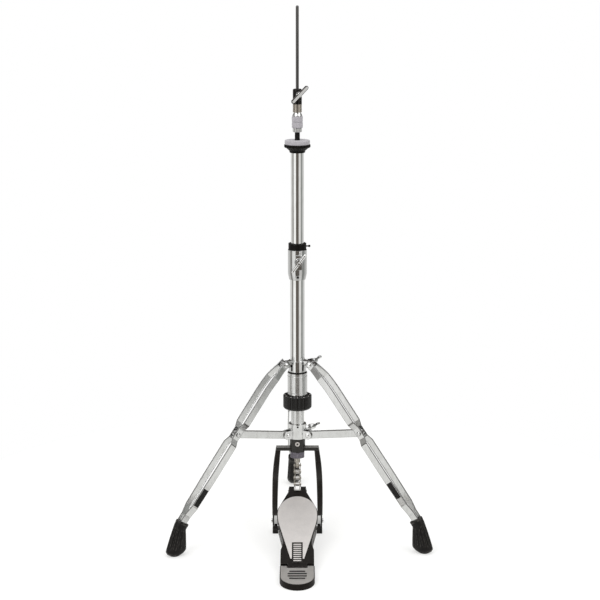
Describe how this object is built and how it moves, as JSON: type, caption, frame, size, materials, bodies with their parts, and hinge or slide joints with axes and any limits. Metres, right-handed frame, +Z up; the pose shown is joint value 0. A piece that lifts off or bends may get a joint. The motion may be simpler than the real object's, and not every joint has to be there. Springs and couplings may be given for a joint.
{
  "type": "hi-hat stand",
  "caption": "Hi-hat cymbal stand with a folding double-braced tripod, telescopic chrome column, clutch on a pull rod, and a chain-driven foot pedal.",
  "frame": {"origin": "middle of the whole outline seen from above, on the floor; the column stands 4 mm to its left and 11 mm behind it", "axes": "+Z up along the column, the player's side with the pedal's heel is -Y, +X to the right of someone looking from the heel towards the column"},
  "size_m": [0.5147, 0.6136, 1.037],
  "materials": {
    "chrome": "polished chrome plate",
    "black_cast": "black powder coat, semi-matt",
    "satin_silver": "satin, fine straight grain",
    "chain_steel": "bright steel, lightly oiled",
    "rubber": "moulded rubber, matt",
    "black_plastic": "moulded nylon, fine grain",
    "felt": "pressed wool felt",
    "dark_nickel": "black nickel plate",
    "spring_steel": "zinc plated spring wire"
  },
  "bodies": {
    "base": {"lower_tube": "chrome", "tube_bushing": "black_plastic", "height_clamp": "chrome", "clamp_bolt": "chrome", "spring_housing": "chrome", "column_neck": "chrome", "yoke": "black_cast", "hub_screw": "satin_silver", "guide_nut": "dark_nickel", "base_brackets": "chrome", "pivot_bolts": "chrome", "yoke_feet": "rubber", "base_plate": "satin_silver", "heel_plate": "black_cast", "heel_inlay": "satin_silver", "hinge_pin": "chrome", "return_spring": "spring_steel"},
    "footboard": {"footboard": "black_cast", "footboard_inlay": "satin_silver", "grip_plate": "rubber", "toe_bolt": "chrome"},
    "chain": {"chain_plates": "chain_steel", "chain_rollers": "chain_steel", "chain_pins": "chain_steel"},
    "pull_rod": {"pull_rod_lower": "chrome", "pull_rod_upper": "chrome", "rod_coupler": "chrome", "spring_collar": "chrome", "rod_connector": "chain_steel"},
    "upper_tube": {"upper_tube": "chrome", "memory_lock": "black_plastic", "memory_lock_bolt": "chrome", "seat_cup": "black_plastic", "seat_felt": "felt", "seat_sleeve": "black_plastic"},
    "clutch": {"clutch_body": "dark_nickel", "clutch_tube": "chrome", "clutch_barrel": "chrome", "clutch_washer": "chrome", "clutch_felts": "felt", "clutch_nut": "chrome"},
    "clutch_wing_screw": {"clutch_wing_screw": "chrome"},
    "clamp_wing_nut": {"clamp_wing_nut": "chrome"},
    "tension_dial": {"tension_dial": "black_plastic"},
    "brace_collar": {"brace_collar": "chrome", "brace_pins": "chrome"},
    "brace_wing_screw": {"brace_wing_screw": "chrome"},
    "leg_collar": {"leg_collar": "chrome", "leg_pins": "chrome"},
    "leg_wing_screw": {"leg_wing_screw": "chrome"},
    "leg_left": {"leg_left": "chrome", "leg_left_foot": "rubber"},
    "strut_left": {"strut_left": "chrome"},
    "leg_right": {"leg_right": "chrome", "leg_right_foot": "rubber"},
    "strut_right": {"strut_right": "chrome"},
    "leg_rear": {"leg_rear": "chrome", "leg_rear_foot": "rubber"},
    "strut_rear": {"strut_rear": "chrome"}
  },
  "joints": [
    {"name": "footboard_hinge", "type": "hinge", "parent": "base", "child": "footboard", "pos_m": [-0.00448, -0.22283, 0.0092], "axis": [-1, 0, 0], "range_deg": [0, 11]},
    {"name": "pull_rod_slide", "type": "slide", "parent": "base", "child": "pull_rod", "axis": [0, 0, -1], "range_m": [0, 0.046], "stiffness_N_per_m": 900, "springref_m": -0.025, "deforming": ["return_spring"]},
    {"name": "chain_swing", "type": "hinge", "parent": "pull_rod", "child": "chain", "pos_m": [-0.00448, 0.01117, 0.13218], "axis": [1, 0, 0], "range_deg": [0, 11.5]},
    {"name": "tension_dial_turn", "type": "hinge", "parent": "base", "child": "tension_dial", "pos_m": [-0.00448, 0.01117, 0.266], "axis": [0, 0, 1], "continuous": true},
    {"name": "upper_tube_slide", "type": "slide", "parent": "base", "child": "upper_tube", "axis": [0, 0, 1], "range_m": [0, 0.065]},
    {"name": "clutch_slide", "type": "slide", "parent": "upper_tube", "child": "clutch", "axis": [0, 0, 1], "range_m": [0, 0.03]},
    {"name": "clutch_wing_turn", "type": "hinge", "parent": "clutch", "child": "clutch_wing_screw", "pos_m": [-0.00043, -0.00637, 0.872], "axis": [0.225, -0.9744, 0], "continuous": true},
    {"name": "clamp_wing_turn", "type": "hinge", "parent": "base", "child": "clamp_wing_nut", "pos_m": [-0.00148, -0.01983, 0.55], "axis": [0, -1, 0], "continuous": true},
    {"name": "tripod_swivel", "type": "hinge", "parent": "base", "child": "brace_collar", "pos_m": [-0.00448, 0.01117, 0.206], "axis": [0, 0, 1], "range_deg": [-12, 12]},
    {"name": "brace_wing_turn", "type": "hinge", "parent": "brace_collar", "child": "brace_wing_screw", "pos_m": [0.02271, 0.02803, 0.208], "axis": [0.8499, 0.527, 0], "continuous": true},
    {"name": "collar_slide", "type": "slide", "parent": "brace_collar", "child": "leg_collar", "axis": [0, 0, 1], "range_m": [0, 0.12]},
    {"name": "leg_wing_turn", "type": "hinge", "parent": "leg_collar", "child": "leg_wing_screw", "pos_m": [0.02271, 0.02803, 0.343], "axis": [0.8499, 0.527, 0], "continuous": true},
    {"name": "leg_left_hinge", "type": "hinge", "parent": "leg_collar", "child": "leg_left", "pos_m": [-0.03083, -0.00517, 0.345], "axis": [0.527, -0.8499, 0], "range_deg": [0, 26.2]},
    {"name": "strut_left_hinge", "type": "hinge", "parent": "brace_collar", "child": "strut_left", "pos_m": [-0.02658, -0.00253, 0.2005], "axis": [-0.527, 0.8499, 0], "range_deg": [0, 55.3]},
    {"name": "leg_right_hinge", "type": "hinge", "parent": "leg_collar", "child": "leg_right", "pos_m": [0.02284, -0.00348, 0.345], "axis": [0.4726, 0.8813, 0], "range_deg": [0, 26.2]},
    {"name": "strut_right_hinge", "type": "hinge", "parent": "brace_collar", "child": "strut_right", "pos_m": [0.01843, -0.00112, 0.2005], "axis": [-0.4726, -0.8813, 0], "range_deg": [0, 55.3]},
    {"name": "leg_rear_hinge", "type": "hinge", "parent": "leg_collar", "child": "leg_rear", "pos_m": [-0.00545, 0.04215, 0.345], "axis": [-0.9995, -0.0314, 0], "range_deg": [0, 26.2]},
    {"name": "strut_rear_hinge", "type": "hinge", "parent": "brace_collar", "child": "strut_rear", "pos_m": [-0.0053, 0.03716, 0.2005], "axis": [0.9995, 0.0314, 0], "range_deg": [0, 55.3]}
  ],
  "couplings": [
    {"joint": "pull_rod_slide", "follows": "footboard_hinge", "m_per_rad": 0.23395},
    {"joint": "chain_swing", "follows": "footboard_hinge", "ratio": 0.98785},
    {"joint": "leg_left_hinge", "follows": "collar_slide", "rad_per_m": 3.7903},
    {"joint": "strut_left_hinge", "follows": "collar_slide", "rad_per_m": 8.0125},
    {"joint": "leg_right_hinge", "follows": "collar_slide", "rad_per_m": 3.7903},
    {"joint": "strut_right_hinge", "follows": "collar_slide", "rad_per_m": 8.0125},
    {"joint": "leg_rear_hinge", "follows": "collar_slide", "rad_per_m": 3.7903},
    {"joint": "strut_rear_hinge", "follows": "collar_slide", "rad_per_m": 8.0125}
  ]
}
